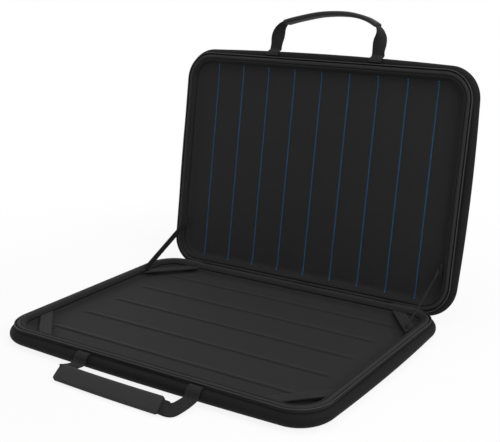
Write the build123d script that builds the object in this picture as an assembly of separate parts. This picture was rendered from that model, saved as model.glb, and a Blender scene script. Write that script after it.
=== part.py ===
"""Zippered clamshell laptop case, standing open.

Two moulded foam shells meet at a soft rim. A fabric strip joins them along the back,
a zip runs round the rest, and each half has a webbing handle on its front edge.
Millimetres. X runs along the hinge, Y to the back, Z up. The origin is the centre of
the base shell's flat underside. The lid stands open against its two stay straps.
"""
from build123d import *
import math
import os

# ---- driving dimensions: the rim line is the crest of the piping on each half ----
RIM_WIDTH = 356.0            # rim line, left to right
RIM_DEPTH = 247.4            # rim line, front to back
RIM_CORNER = 28.0            # plan radius of the rim line
RIM_HEIGHT = 20.0            # crest above the underside
RIM_GAP = 1.0                # left between the two crests when the case is shut
OPEN_ANGLE = 100.48           # lid against its stays
HINGE_SETBACK = 5.4          # hinge line behind the rim line
HINGE_DROP = 10.2            # hinge line below the plane where the two crests meet

# ---- moulded shell ----
SIDE_BULGE = 6.5             # shell past the rim line at the ends of each side
FRONT_BULGE = 7.2            # the same on the long edges
BOW = 4.2                    # each side swells this much more at its middle
SHELL_CORNER = 35.0
WAIST_HEIGHT = 9.0           # height of the widest line
UNDER_CURVE = 15.0           # how far in the lower rounding runs
SHOULDER_CURVE = 6.0         # how far in the upper rounding runs
FLANGE_HEIGHT = 15.5         # top face of the shell's flange
FLANGE_REACH = 10.5          # flange's inner edge, in from the widest line
FLANGE_THICKNESS = 2.2
FLOOR_THICKNESS = 3.0
FOOT_WIDTH = 1.0             # flat foot of the wall, where it meets the floor plate

# ---- inside: board, padded floor, wall lining ----
BOARD_BOTTOM = 3.2
BOARD_THICKNESS = 1.0
PAD_BOTTOM = 4.4
BASE_PAD_TOP = 10.7
LID_PAD_TOP = 13.0
PAD_INSET = 15.2
LINING_OUTER = 6.6           # insets of the wall lining from the rim line
LINING_INNER = 15.0
LINING_LIP = 8.0
LINING_TOP = 14.9
LINING_JOINT = 0.1           # between the wall lining's straight runs and its corners
RIB_COUNT = 5
RIB_PITCH = 44.0
RIB_LENGTH = 304.0
RIB_WIDTH = 5.0
RIB_HEIGHT = 1.2
RIB_ROUND = 1.1

# ---- quilting of the lid pad ----
QUILT_ROWS = 9
QUILT_PITCH = 35.3
QUILT_LENGTH = 215.0
GROOVE_WIDTH = 1.4
GROOVE_DEPTH = 0.6
THREAD_WIDTH = 0.8
THREAD_HEIGHT = 0.4

# ---- rim: piping, inner binding, zip tape and coil ----
PIPING_OUT = -0.4            # centre, out from the rim line
PIPING_HALF_WIDTH = 2.2
PIPING_HALF_HEIGHT = 1.95
BINDING_OUT = -5.0
BINDING_HALF_WIDTH = 2.2
BINDING_HALF_HEIGHT = 1.9
BINDING_HEIGHT = 17.5
JOINT_CENTRE_X = 6.0         # wrap over the binding's two ends
JOINT_LENGTH = 20.0
JOINT_WALL = 0.5
JOINT_CLEARANCE = 0.05
JOINT_REACH = 1.3            # wrap ends this far past the binding's centre, outside and below
TAPE_INNER = -1.0
TAPE_FACE = 3.2
TAPE_THICKNESS = 0.6
TAPE_BOTTOM = 15.55
TAPE_FLAT = 0.4
TAPE_TOP = 17.95
COIL_OUT = 3.5
COIL_RADIUS = 0.75
COIL_LIFT = 0.05
STOP_INNER_X = 113.2         # zip ends on the back edge, either side of the hinge strip
STOP_LENGTH = 1.9
STOP_WALL = 0.35

# ---- hinge strip ----
HINGE_LENGTH = 220.0
HINGE_THICKNESS = 0.5

# ---- sliders and pulls ----
SLIDER_X = 121.0
SLIDER_LENGTH = 9.0
SLIDER_BOTTOM = 16.15
SLIDER_TOP = 20.1
SLIDER_ROOF = 0.4
INNER_WING = (1.95, 2.5)     # distances out from the rim line
OUTER_WING = (4.5, 5.4)
BAIL_OUT = 7.8
BAIL_HEIGHT = 17.8
BAIL_RADIUS = 0.6
BAIL_LENGTH = 6.0
BAIL_POST = 0.9
PULL_RING_INNER = 0.9
PULL_RING_OUTER = 1.9
PULL_RING_WIDTH = 1.8
PULL_LENGTH = 17.0
PULL_WIDTH = 5.0
PULL_THICKNESS = 1.4
PULL_LEAN = 27.0             # hangs against the shell, out from the vertical

# ---- elastic corner bands and stay straps ----
BAND_WIDTH = 12.0
BAND_THICKNESS = 1.4
BAND_HEIGHT = 15.0
BAND_SIDE_POINT = (171.0, 77.0)
BAND_EDGE_POINT = (128.0, 120.0)
BAND_CORNER_SHIFT = 8.0      # the back right band is sewn this much nearer its corner
BAND_INSET = 7.6
TAB_FACE_INSET = 7.4         # tabs lie against the binding
TAB_THICKNESS = 2.0
TAB_LENGTH = 14.0
TAB_BOTTOM = 16.6
TAB_TOP = 19.4
STAY_BASE_Y = 73.5
STAY_LID_REACH = 49.5        # along the lid from the hinge line
STAY_WIDTH = 7.4
STAY_THICKNESS = 1.0
STAY_GAP = 0.1

# ---- webbing handles ----
WEB_WIDTH = 15.0
WEB_THICKNESS = 1.6
LEG_X = 65.8
WEB_LIFT = 0.3               # webbing clears the shell by this much
ANCHOR_OUT = 5.6             # anchors start beside the zip tape, this far outside the rim line
PIVOT_OUT = 12.2             # webbing leaves the shell's waist here
PIVOT_CLEARANCE = 0.8
GRIP_WIDTH = 17.0
GRIP_THICKNESS = 5.0
GRIP_ROUND = 2.3
CORE_WIDTH = 12.4
CORE_THICKNESS = 1.8
CORE_CLEARANCE = 0.3
CORE_EXTRA = 3.5             # core shows this much past each end of the sleeve
KNUCKLE_LENGTH = 13.0
KNUCKLE_WIDTH = 11.0
KNUCKLE_THICKNESS = 4.4
LID_LEG = 31.5               # legs run this far out from the pivot line
LID_GRIP_HALF = 58.0         # half the length of the sleeve
LID_GRIP_REACH = 30.8        # ends of the grip, out from the pivot line
LID_GRIP_ARCH = 12.0         # rise of the arch, counted to above the legs
LID_LEAN = 90.0              # grip's width stands across the lid
BASE_LEG = 20.0
BASE_GRIP_HALF = 63.0
BASE_GRIP_REACH = 21.0
BASE_GRIP_ARCH = 1.0
BASE_GRIP_LIFT = -2.0        # grip's middle above the pivot line
BASE_LEAN = 41.0             # grip leans back over its legs
BASE_SHIFT = -10.0           # the handle lies skewed to the left
BASE_DROOP = 7.0             # legs slope down to the ground, in degrees

# ---- worked out from the above ----
HALF_WIDTH = RIM_WIDTH / 2
HALF_DEPTH = RIM_DEPTH / 2
HINGE_Y = HALF_DEPTH + HINGE_SETBACK
SHUT_Z = RIM_HEIGHT + RIM_GAP / 2
HINGE_Z = SHUT_Z - HINGE_DROP
PIVOT_Y = -(HALF_DEPTH + PIVOT_OUT)
PIVOT_Z = WAIST_HEIGHT
UP = Vector(0, 0, 1)
SIDES = {"left": -1, "right": 1}
TALL = 60.0                  # height of cutting blocks


def to_lid(shape):
    """Turn a piece of the base half into the same piece of the open lid."""
    shut = mirror(shape, about=Plane.XY.offset(SHUT_Z))
    axis = Axis((0, HINGE_Y, HINGE_Z), (1, 0, 0))
    return shut.rotate(axis, -OPEN_ANGLE)


def lid_point(y, height):
    """Where a point of the base half's Y-Z section lies on the open lid."""
    angle = math.radians(OPEN_ANGLE)
    back = y - HINGE_Y
    rise = 2 * SHUT_Z - height - HINGE_Z
    return (HINGE_Y + back * math.cos(angle) + rise * math.sin(angle),
            HINGE_Z - back * math.sin(angle) + rise * math.cos(angle))


# ---------------------------------------------------------------- outlines and sweeps
def rim_outline(out):
    """Plan outline at a distance out from the rim line."""
    return RectangleRounded(RIM_WIDTH + 2 * out, RIM_DEPTH + 2 * out, RIM_CORNER + out)


def rim_ring(inner, outer, bottom, top):
    """Upright ring between two distances from the rim line."""
    flat = rim_outline(outer) - rim_outline(inner)
    return Pos(0, 0, bottom) * extrude(flat, amount=top - bottom)


def shell_outline(inset=0.0):
    """Widest plan outline of the shell, or one inside it: four bowed sides, round corners."""
    half_x = HALF_WIDTH + SIDE_BULGE - inset
    half_y = HALF_DEPTH + FRONT_BULGE - inset
    corners = [(-half_x, -half_y), (half_x, -half_y), (half_x, half_y), (-half_x, half_y)]
    middles = [(0, -half_y - BOW), (half_x + BOW, 0), (0, half_y + BOW), (-half_x - BOW, 0)]
    sides = [ThreePointArc(corners[i], middles[i], corners[(i + 1) % 4]) for i in range(4)]
    outline = make_face(sides)
    return fillet(outline.vertices(), SHELL_CORNER - inset)


def sweep_round(outline, section):
    """Sweep a section, drawn as (out, height), round a plan outline."""
    path = outline.wire()
    start = path @ 0
    along = path % 0
    outward = Vector(along.Y, -along.X, 0)
    if outward.dot(start) < 0:
        outward = -outward
    plane = Plane(origin=start, x_dir=outward, z_dir=outward.cross(UP))
    return sweep(plane * section, path=path)


def ribbon(points, thickness):
    """Flat strip of even thickness along a Y-Z polyline, as a face in the Y-Z plane."""
    left = []
    right = []
    for index, (y, z) in enumerate(points):
        before = points[max(index - 1, 0)]
        after = points[min(index + 1, len(points) - 1)]
        run = (after[0] - before[0], after[1] - before[1])
        length = math.hypot(*run)
        side = (-run[1] / length * thickness / 2, run[0] / length * thickness / 2)
        left.append((y + side[0], z + side[1]))
        right.append((y - side[0], z - side[1]))
    return Plane.YZ * make_face(Polyline(*left, *reversed(right), close=True))


# ---------------------------------------------------------------- moulded shell
def wall_section():
    """Shell wall: rounded underside edge, full waist, shoulder and flat flange."""
    waist_rise = FLANGE_HEIGHT - WAIST_HEIGHT
    thin = FLANGE_THICKNESS
    inner_top = FLANGE_HEIGHT - thin
    outer_low = EllipticalCenterArc((-UNDER_CURVE, WAIST_HEIGHT), UNDER_CURVE, WAIST_HEIGHT,
                                    start_angle=270, arc_size=90)
    outer_high = EllipticalCenterArc((-SHOULDER_CURVE, WAIST_HEIGHT), SHOULDER_CURVE,
                                     waist_rise, start_angle=0, arc_size=90)
    inner_high = EllipticalCenterArc((-SHOULDER_CURVE, WAIST_HEIGHT), SHOULDER_CURVE - thin,
                                     waist_rise - thin, start_angle=0, arc_size=90)
    inner_low = EllipticalCenterArc((-UNDER_CURVE, WAIST_HEIGHT), UNDER_CURVE - thin,
                                    WAIST_HEIGHT - FLOOR_THICKNESS, start_angle=270,
                                    arc_size=90)
    flange = Polyline((-SHOULDER_CURVE, FLANGE_HEIGHT), (-FLANGE_REACH, FLANGE_HEIGHT),
                      (-FLANGE_REACH, inner_top), (-SHOULDER_CURVE, inner_top))
    heel = -UNDER_CURVE - FOOT_WIDTH
    foot = Polyline((-UNDER_CURVE, FLOOR_THICKNESS), (heel, FLOOR_THICKNESS), (heel, 0),
                    (-UNDER_CURVE, 0))
    return make_face([*outer_low.edges(), *outer_high.edges(), *flange.edges(),
                      *inner_high.edges(), *inner_low.edges(), *foot.edges()])


def shell():
    """Moulded foam shell: the wall and the floor plate."""
    wall = sweep_round(shell_outline(), wall_section())
    floor_outline = shell_outline(UNDER_CURVE + FOOT_WIDTH / 2)
    return wall + extrude(floor_outline, amount=FLOOR_THICKNESS)


# ---------------------------------------------------------------- inside of each half
def stiffener():
    """Thin plastic board between the shell's floor and the pad."""
    return Pos(0, 0, BOARD_BOTTOM) * extrude(rim_outline(-PAD_INSET), amount=BOARD_THICKNESS)


def stretches(half_length):
    """One side of the case as a corner, the straight run and the other corner."""
    straight = half_length - RIM_CORNER
    return [(-half_length, -straight - LINING_JOINT), (-straight, straight),
            (straight + LINING_JOINT, half_length)]


def wall_lining(pad_top):
    """Coved strip that lines the wall: four straight runs and four corner pieces."""
    drop = LINING_TOP - pad_top
    reach = LINING_INNER - LINING_LIP
    cove = EllipticalCenterArc((-LINING_INNER, LINING_TOP), reach, drop,
                               start_angle=270, arc_size=90)
    rest = Polyline((-LINING_LIP, LINING_TOP), (-LINING_OUTER, LINING_TOP),
                    (-LINING_OUTER, PAD_BOTTOM), (-LINING_INNER, PAD_BOTTOM),
                    (-LINING_INNER, pad_top))
    section = make_face([*cove.edges(), *rest.edges()])
    ring = sweep_round(rim_outline(0), section)
    pieces = []
    for x_span in stretches(HALF_WIDTH):
        for y_span in stretches(HALF_DEPTH):
            pieces += (ring & between(*x_span, *y_span, 0, TALL)).solids()
    return Compound(children=pieces)


def plain_pad(pad_top):
    """Flat padded panel that fills the middle of a half."""
    return Pos(0, 0, PAD_BOTTOM) * extrude(rim_outline(-PAD_INSET), amount=pad_top - PAD_BOTTOM)


def ribbed_pad():
    """Base pad with raised ribs that run left to right."""
    pad = plain_pad(BASE_PAD_TOP)
    for row in range(RIB_COUNT):
        y = (row - (RIB_COUNT - 1) / 2) * RIB_PITCH
        rib = extrude(SlotOverall(RIB_LENGTH, RIB_WIDTH), amount=RIB_HEIGHT)
        rib = fillet(rib.faces().sort_by(Axis.Z)[-1].edges(), RIB_ROUND)
        pad += Pos(0, y, BASE_PAD_TOP) * rib
    return pad


def quilt_rows(width, height, bottom):
    """Upright strips, one for each row of quilting, running front to back."""
    strips = []
    for row in range(QUILT_ROWS):
        x = (row - (QUILT_ROWS - 1) / 2) * QUILT_PITCH
        strip = Box(width, QUILT_LENGTH, height, align=(Align.CENTER, Align.CENTER, Align.MIN))
        strips.append(Pos(x, 0, bottom) * strip)
    return strips


def quilted_pad():
    """Lid pad with a pinched groove under each row of stitching."""
    pad = plain_pad(LID_PAD_TOP)
    for groove in quilt_rows(GROOVE_WIDTH, GROOVE_DEPTH, LID_PAD_TOP - GROOVE_DEPTH):
        pad -= groove
    return pad


def quilt_threads():
    """The stitching itself, a strip of thread in each groove."""
    bottom = LID_PAD_TOP - GROOVE_DEPTH + COIL_LIFT
    return Compound(children=quilt_rows(THREAD_WIDTH, THREAD_HEIGHT, bottom))


# ---------------------------------------------------------------- rim
def piping():
    """Soft roll that forms the crest of the rim."""
    roll = Ellipse(PIPING_HALF_WIDTH, PIPING_HALF_HEIGHT)
    centre = RIM_HEIGHT - PIPING_HALF_HEIGHT
    return sweep_round(rim_outline(0), Pos(PIPING_OUT, centre) * roll)


def binding():
    """Second, inner roll that covers the seam of shell, lining and tape."""
    roll = Ellipse(BINDING_HALF_WIDTH, BINDING_HALF_HEIGHT)
    return sweep_round(rim_outline(0), Pos(BINDING_OUT, BINDING_HEIGHT) * roll)


def binding_joint():
    """Short wrap over the binding where its two ends meet, on the back edge."""
    inner = Ellipse(BINDING_HALF_WIDTH + JOINT_CLEARANCE, BINDING_HALF_HEIGHT + JOINT_CLEARANCE)
    outer = Ellipse(BINDING_HALF_WIDTH + JOINT_WALL, BINDING_HALF_HEIGHT + JOINT_WALL)
    wrap = extrude(Plane.YZ * (outer - inner), amount=JOINT_LENGTH)
    placed = Pos(JOINT_CENTRE_X - JOINT_LENGTH / 2, HALF_DEPTH + BINDING_OUT,
                 BINDING_HEIGHT) * wrap
    corner = Pos(JOINT_CENTRE_X, HALF_DEPTH + BINDING_OUT + JOINT_REACH,
                 BINDING_HEIGHT - JOINT_REACH)
    keep = Box(JOINT_LENGTH, TALL, TALL, align=(Align.CENTER, Align.MAX, Align.MIN))
    return placed & (corner * keep)


def hinge_gap(half_length):
    """Block over the middle of the back edge, where the zip is absent."""
    block = Box(2 * half_length, TALL, TALL)
    return Pos(0, HALF_DEPTH, RIM_HEIGHT) * block


def zip_tape():
    """Woven tape: a flat leg on the flange and an upright leg that carries the coil."""
    flat = rim_ring(TAPE_INNER, TAPE_FACE + TAPE_THICKNESS, TAPE_BOTTOM, TAPE_BOTTOM + TAPE_FLAT)
    upright = rim_ring(TAPE_FACE, TAPE_FACE + TAPE_THICKNESS, TAPE_BOTTOM, TAPE_TOP)
    return (flat + upright) - hinge_gap(STOP_INNER_X)


def zip_coil():
    """Nylon coil along the tape's upper edge, as one plain cord."""
    cord = Circle(COIL_RADIUS)
    centre = TAPE_TOP + COIL_LIFT + COIL_RADIUS
    whole = sweep_round(rim_outline(0), Pos(COIL_OUT, centre) * cord)
    return whole - hinge_gap(STOP_INNER_X + STOP_LENGTH + COIL_LIFT)


def zip_stops():
    """Clamped stop at each end of the coil, beside the hinge strip."""
    size = 2 * (COIL_RADIUS + STOP_WALL)
    bottom = TAPE_TOP + COIL_LIFT
    stop = Box(STOP_LENGTH, size, size, align=(Align.CENTER, Align.CENTER, Align.MIN))
    stop = fillet(stop.edges().filter_by(Axis.X), STOP_WALL)
    x = STOP_INNER_X + STOP_LENGTH / 2
    y = HALF_DEPTH + COIL_OUT
    return Compound(children=[Pos(side * x, y, bottom) * stop for side in SIDES.values()])


def hinge_strip():
    """Fabric strip from the base flange, round the hinge line, to the lid flange."""
    lift = HINGE_THICKNESS / 2 + COIL_LIFT
    base_side = [(HALF_DEPTH + TAPE_INNER, FLANGE_HEIGHT + lift),
                 (HALF_DEPTH + TAPE_FACE, FLANGE_HEIGHT + lift),
                 (HALF_DEPTH + TAPE_FACE + 2 * HINGE_THICKNESS, FLANGE_HEIGHT + 4 * lift),
                 (HALF_DEPTH + TAPE_FACE + 4 * HINGE_THICKNESS, FLANGE_HEIGHT + 6 * lift)]
    lid_side = [lid_point(*point) for point in reversed(base_side)]
    strip = extrude(ribbon(base_side + lid_side, HINGE_THICKNESS), amount=HINGE_LENGTH)
    return Pos(-HINGE_LENGTH / 2, 0, 0) * strip


# ---------------------------------------------------------------- sliders and pulls
def between(x_low, x_high, y_low, y_high, z_low, z_high):
    """Block from its limits."""
    block = Box(x_high - x_low, y_high - y_low, z_high - z_low)
    return Pos((x_low + x_high) / 2, (y_low + y_high) / 2, (z_low + z_high) / 2) * block


def slider():
    """Right slider on the back edge: two wings, a roof over the coil, and a bail."""
    low_x = SLIDER_X - SLIDER_LENGTH / 2
    high_x = SLIDER_X + SLIDER_LENGTH / 2
    wings = [between(low_x, high_x, HALF_DEPTH + wing[0], HALF_DEPTH + wing[1],
                     SLIDER_BOTTOM, SLIDER_TOP) for wing in (INNER_WING, OUTER_WING)]
    roof = between(low_x, high_x, HALF_DEPTH + INNER_WING[0], HALF_DEPTH + OUTER_WING[1],
                   SLIDER_TOP, SLIDER_TOP + SLIDER_ROOF)
    body = wings[0] + wings[1] + roof
    bar = Cylinder(BAIL_RADIUS, BAIL_LENGTH, rotation=(0, 90, 0))
    body += Pos(SLIDER_X, HALF_DEPTH + BAIL_OUT, BAIL_HEIGHT) * bar
    for side in SIDES.values():
        outer_x = SLIDER_X + side * BAIL_LENGTH / 2
        inner_x = outer_x - side * BAIL_POST
        body += between(min(inner_x, outer_x), max(inner_x, outer_x),
                        HALF_DEPTH + OUTER_WING[0], HALF_DEPTH + BAIL_OUT + BAIL_RADIUS,
                        BAIL_HEIGHT - BAIL_RADIUS, BAIL_HEIGHT + BAIL_RADIUS)
    return body


def pull():
    """Right pull tab: a ring round the bail and a plate that hangs beside the shell."""
    ring = Cylinder(PULL_RING_OUTER, PULL_RING_WIDTH, rotation=(0, 90, 0))
    neck = between(-PULL_RING_WIDTH / 2, PULL_RING_WIDTH / 2, -PULL_THICKNESS / 2,
                   PULL_THICKNESS / 2, -PULL_RING_OUTER - 1, -PULL_RING_INNER)
    plate = between(-PULL_WIDTH / 2, PULL_WIDTH / 2, -PULL_THICKNESS / 2,
                    PULL_THICKNESS / 2, -PULL_LENGTH, -PULL_RING_OUTER - PULL_RING_INNER)
    plate = fillet(plate.edges().filter_by(Axis.Y), PULL_THICKNESS)
    tab = ring + neck + plate
    tab -= Cylinder(PULL_RING_INNER, PULL_RING_WIDTH, rotation=(0, 90, 0))
    hung = Rot(PULL_LEAN, 0, 0) * tab
    return Pos(SLIDER_X, HALF_DEPTH + BAIL_OUT, BAIL_HEIGHT) * hung


# ---------------------------------------------------------------- bands, tabs and stays
def corner_band(side_x, side_y):
    """Elastic band across one corner of the base, held at the wall lining."""
    start = Vector(side_x * BAND_SIDE_POINT[0], side_y * BAND_SIDE_POINT[1])
    shift = BAND_CORNER_SHIFT if side_x > 0 and side_y > 0 else 0
    end = Vector(side_x * (BAND_EDGE_POINT[0] + shift), side_y * BAND_EDGE_POINT[1])
    run = end - start
    turn = math.degrees(math.atan2(run.Y, run.X))
    strap = Box(run.length + 2 * BAND_WIDTH, BAND_WIDTH, BAND_THICKNESS,
                align=(Align.CENTER, Align.CENTER, Align.MIN))
    middle = (start + end) / 2
    placed = Pos(middle.X, middle.Y, BAND_HEIGHT) * Rot(0, 0, turn) * strap
    inside = extrude(rim_outline(-BAND_INSET), amount=TALL)
    return placed & inside


def stay_tab(side, y):
    """Small stitched tab on the binding that holds one end of a stay strap."""
    outer = HALF_WIDTH - TAB_FACE_INSET
    inner = outer - TAB_THICKNESS
    return between(min(side * inner, side * outer), max(side * inner, side * outer),
                   y - TAB_LENGTH / 2, y + TAB_LENGTH / 2, TAB_BOTTOM, TAB_TOP)


def stay_strap(side):
    """Webbing stay from the base rim to the open lid, flat against the side."""
    base_end = (STAY_BASE_Y, SHUT_Z)
    lid_end = lid_point(HINGE_Y - STAY_LID_REACH, SHUT_Z)
    strap = extrude(ribbon([base_end, lid_end], STAY_WIDTH), amount=STAY_THICKNESS)
    outer = HALF_WIDTH - TAB_FACE_INSET - TAB_THICKNESS - STAY_GAP
    low = outer - STAY_THICKNESS if side > 0 else -outer
    return Pos(low, 0, 0) * strap


# ---------------------------------------------------------------- handles
def shell_out(x):
    """How far the waist of a long side stands outside the rim line, at this X."""
    return FRONT_BULGE + BOW * (1 - (x / (HALF_WIDTH + SIDE_BULGE)) ** 2)


def handle_anchors():
    """Sewn ends of the handle webbing, from the zip seam over the shell's shoulder."""
    near = LEG_X - WEB_WIDTH / 2
    centre_out = shell_out(near) - SHOULDER_CURVE
    rise = FLANGE_HEIGHT - WAIST_HEIGHT
    curves = []
    for lift in (WEB_LIFT, WEB_LIFT + WEB_THICKNESS):
        curves.append(EllipticalCenterArc((-centre_out, WAIST_HEIGHT), SHOULDER_CURVE + lift,
                                          rise + lift, start_angle=90, arc_size=90))
    ends = [Line(curves[0] @ t, curves[1] @ t) for t in (0, 1)]
    face = make_face([*curves[0].edges(), *curves[1].edges(), *ends[0].edges(),
                      *ends[1].edges()])
    strip = extrude(Plane.YZ * face, amount=WEB_WIDTH)
    strip = Pos(-WEB_WIDTH / 2, -HALF_DEPTH, 0) * strip
    keep = between(-WEB_WIDTH, WEB_WIDTH, -HALF_DEPTH - TALL, -HALF_DEPTH - ANCHOR_OUT,
                   PIVOT_Z + WEB_THICKNESS / 2 + PIVOT_CLEARANCE, TALL)
    strip = strip & keep
    return Compound(children=[Pos(side * LEG_X, 0, 0) * strip for side in SIDES.values()])


def grip_line(reach, arch, lift, shift, half_length):
    """Centre line of the grip: an arc in a level plane in front of the pivot line."""
    y = PIVOT_Y - reach
    z = PIVOT_Z + lift
    fall = arch * (half_length / LEG_X) ** 2
    return ThreePointArc((shift - half_length, y - arch + fall, z), (shift, y - arch, z),
                         (shift + half_length, y - arch + fall, z))


def along_grip(line, lean, width, thickness, radius):
    """Flat bar along the grip line; lean turns its width from level to upright."""
    start = line @ 0
    direction = line % 0
    level = direction.cross(UP).normalized()
    across = level.rotate(Axis((0, 0, 0), direction), lean)
    plane = Plane(origin=start, x_dir=across, z_dir=direction)
    return sweep(plane * RectangleRounded(width, thickness, radius), path=line)


def handle(leg, half, reach, arch, lift, lean, shift, droop):
    """Webbing (legs, folded corners and core) and the sleeve round its grip."""
    sleeve_line = grip_line(reach, arch, lift, shift, half)
    sleeve = along_grip(sleeve_line, lean, GRIP_WIDTH, GRIP_THICKNESS, GRIP_ROUND)
    bore = along_grip(sleeve_line, lean, CORE_WIDTH + 2 * CORE_CLEARANCE,
                      CORE_THICKNESS + 2 * CORE_CLEARANCE, CORE_THICKNESS / 3)
    room = along_grip(sleeve_line, lean, GRIP_WIDTH + 2 * CORE_CLEARANCE,
                      GRIP_THICKNESS + 2 * CORE_CLEARANCE, GRIP_ROUND)
    core_line = grip_line(reach, arch, lift, shift, half + CORE_EXTRA)
    web = along_grip(core_line, lean, CORE_WIDTH, CORE_THICKNESS, CORE_THICKNESS / 3)
    for end, side in enumerate((-1, 1)):
        root = side * LEG_X
        tip = core_line @ end
        knuckle_x = tip.X + side * KNUCKLE_LENGTH / 2 - side * CORE_EXTRA / 2
        half_web = WEB_WIDTH / 2
        flat = make_face(Polyline((root - half_web, 0), (root + half_web, 0),
                                  (knuckle_x + half_web, -leg), (knuckle_x - half_web, -leg),
                                  close=True))
        strap = Pos(0, 0, -WEB_THICKNESS / 2) * extrude(flat, amount=WEB_THICKNESS)
        strap += Pos(root, 0, 0) * Cylinder(WEB_THICKNESS / 2, WEB_WIDTH, rotation=(0, 90, 0))
        web += Pos(0, PIVOT_Y, PIVOT_Z) * Rot(droop, 0, 0) * strap - room
        knuckle = Box(KNUCKLE_LENGTH, KNUCKLE_WIDTH, KNUCKLE_THICKNESS)
        knuckle = fillet(knuckle.edges(), KNUCKLE_THICKNESS / 3)
        web += Pos(knuckle_x, tip.Y, tip.Z) * Rot(-lean, 0, 0) * knuckle
    return web, sleeve - bore


# ---------------------------------------------------------------- assembly
def build():
    """Every node by name."""
    nodes = {}
    shared = {"shell": shell(), "stiffener": stiffener(), "piping": piping(), "binding": binding(), "binding_joint": binding_joint(),
              "zip_tape": zip_tape(), "zip_coil": zip_coil(), "zip_stops": zip_stops(),
              "handle_anchors": handle_anchors()}
    for name, piece in shared.items():
        nodes["base_" + name] = piece
        nodes["lid_" + name] = to_lid(piece)
    nodes["base_wall_lining"] = wall_lining(BASE_PAD_TOP)
    nodes["lid_wall_lining"] = to_lid(wall_lining(LID_PAD_TOP))
    nodes["base_floor_pad"] = ribbed_pad()
    nodes["lid_quilted_pad"] = to_lid(quilted_pad())
    nodes["lid_quilt_threads"] = to_lid(quilt_threads())
    nodes["hinge_strip"] = hinge_strip()
    for name, side in SIDES.items():
        nodes["base_stay_tab_" + name] = stay_tab(side, STAY_BASE_Y)
        nodes["lid_stay_tab_" + name] = to_lid(stay_tab(side, HINGE_Y - STAY_LID_REACH))
        nodes["stay_strap_" + name] = stay_strap(side)
        nodes["corner_band_front_" + name] = corner_band(side, -1)
        nodes["corner_band_back_" + name] = corner_band(side, 1)
    nodes["zip_slider_right"] = slider()
    nodes["zip_slider_left"] = mirror(slider(), about=Plane.YZ)
    nodes["zip_pull_right"] = pull()
    nodes["zip_pull_left"] = mirror(pull(), about=Plane.YZ)
    web, grip = handle(BASE_LEG, BASE_GRIP_HALF, BASE_GRIP_REACH, BASE_GRIP_ARCH,
                       BASE_GRIP_LIFT, BASE_LEAN, BASE_SHIFT, BASE_DROOP)
    nodes["base_handle_webbing"] = web
    nodes["base_handle_grip"] = grip
    web, grip = handle(LID_LEG, LID_GRIP_HALF, LID_GRIP_REACH, LID_GRIP_ARCH, 0,
                       LID_LEAN, 0, 0)
    nodes["lid_handle_webbing"] = to_lid(web)
    nodes["lid_handle_grip"] = to_lid(grip)
    return nodes


os.makedirs("parts", exist_ok=True)
for node_name, node_shape in build().items():
    export_step(node_shape, f"parts/{node_name}.step")
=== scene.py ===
import math

import bmesh
import bpy
from mathutils import Matrix, Vector, noise


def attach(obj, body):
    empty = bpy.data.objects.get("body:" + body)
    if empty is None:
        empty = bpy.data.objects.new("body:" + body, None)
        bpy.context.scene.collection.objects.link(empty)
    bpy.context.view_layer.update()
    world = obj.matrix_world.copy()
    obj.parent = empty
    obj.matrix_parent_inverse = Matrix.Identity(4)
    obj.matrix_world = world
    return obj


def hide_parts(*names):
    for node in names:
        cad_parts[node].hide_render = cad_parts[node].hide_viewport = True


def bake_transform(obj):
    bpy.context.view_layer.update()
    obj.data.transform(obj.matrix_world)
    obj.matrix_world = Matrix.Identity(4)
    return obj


# A zippered laptop case, standing open. The base half is drawn in millimetres in the
# part's own frame, and half_point() turns a point of the base half into the same point of
# the open lid.
MM = 0.001

# ---- the part's dimensions, in millimetres ----
HALF_WIDTH, HALF_DEPTH = 178.0, 123.7      # rim line, the crest of the piping
RIM_CORNER = 28.0
RIM_HEIGHT = 20.0
SHUT_Z = 20.5                              # where the two crests meet when shut
OPEN_ANGLE = math.radians(100.48)
HINGE_Y, HINGE_Z = 129.1, 10.3
FLANGE_HEIGHT = 15.5
PIPING_OUT, PIPING_WIDE, PIPING_TALL = -0.4, 2.2, 1.95
BINDING_OUT, BINDING_HEIGHT = -5.0, 17.3
BINDING_LONG, BINDING_THICK = 2.75, 1.15
BINDING_SLANT = math.radians(47)
JOINT_X, JOINT_LENGTH = 6.0, 20.0
LAP_SWELL, LAP_END_SWELL = 0.42, 0.18      # how much the binding's lap stands proud
TRIM_WAVER, TRIM_SEED = 0.25, 1            # unevenness of the soft trim
TRIM_STEP, TAPE_STEP = 3.0, 4.0            # distance between sections round the rim
TAPE_INNER, TAPE_FACE, TAPE_THICKNESS = -1.0, 3.2, 0.6
TAPE_BOTTOM, TAPE_TOP, TAPE_FLAT = 15.55, 17.95, 0.4
TAPE_FOLD = 0.3                            # corner cut where the tape turns upright
COIL_OUT, COIL_RADIUS, COIL_LIFT = 3.5, 0.75, 0.05
COIL_TOOTH, COIL_DIP = 1.5, 0.18           # length of a turn, and how far it necks in
STOP_X, COIL_START = 113.2, 2.0
LINING_INSET, LINING_LIP, LINING_FOOT = 6.6, 8.0, 15.0
LINING_TOP, PAD_BOTTOM = 14.9, 4.4
PAD_TOP = {"base": 10.7, "lid": 13.0}
LINING_STEP, LINING_LUMP = 5.0, 0.12
RELIEF_START, RELIEF_FULL = 9, 17          # insets between which ribs and quilting fade in
RIB_COUNT, RIB_PITCH, RIB_HALF, RIB_HEIGHT = 5, 44.0, 152.0, 1.2
RIB_FRONT, RIB_BACK, RIB_FADE = (2.2, 0.6), (0.2, 6), 8
RIB_GRID = (-3, -2.2, -1.8, -1.4, -1.0, -0.6, -0.2, 0.6, 1.4, 2.4, 3.6, 4.8, 6)
QUILT_ROWS, QUILT_PITCH, QUILT_HALF = 9, 35.3, 116.0
QUILT_SWELL, QUILT_PINCH, QUILT_PINCH_WIDTH, QUILT_FADE = 0.45, 0.6, 1.1, (9, 3)
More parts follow.
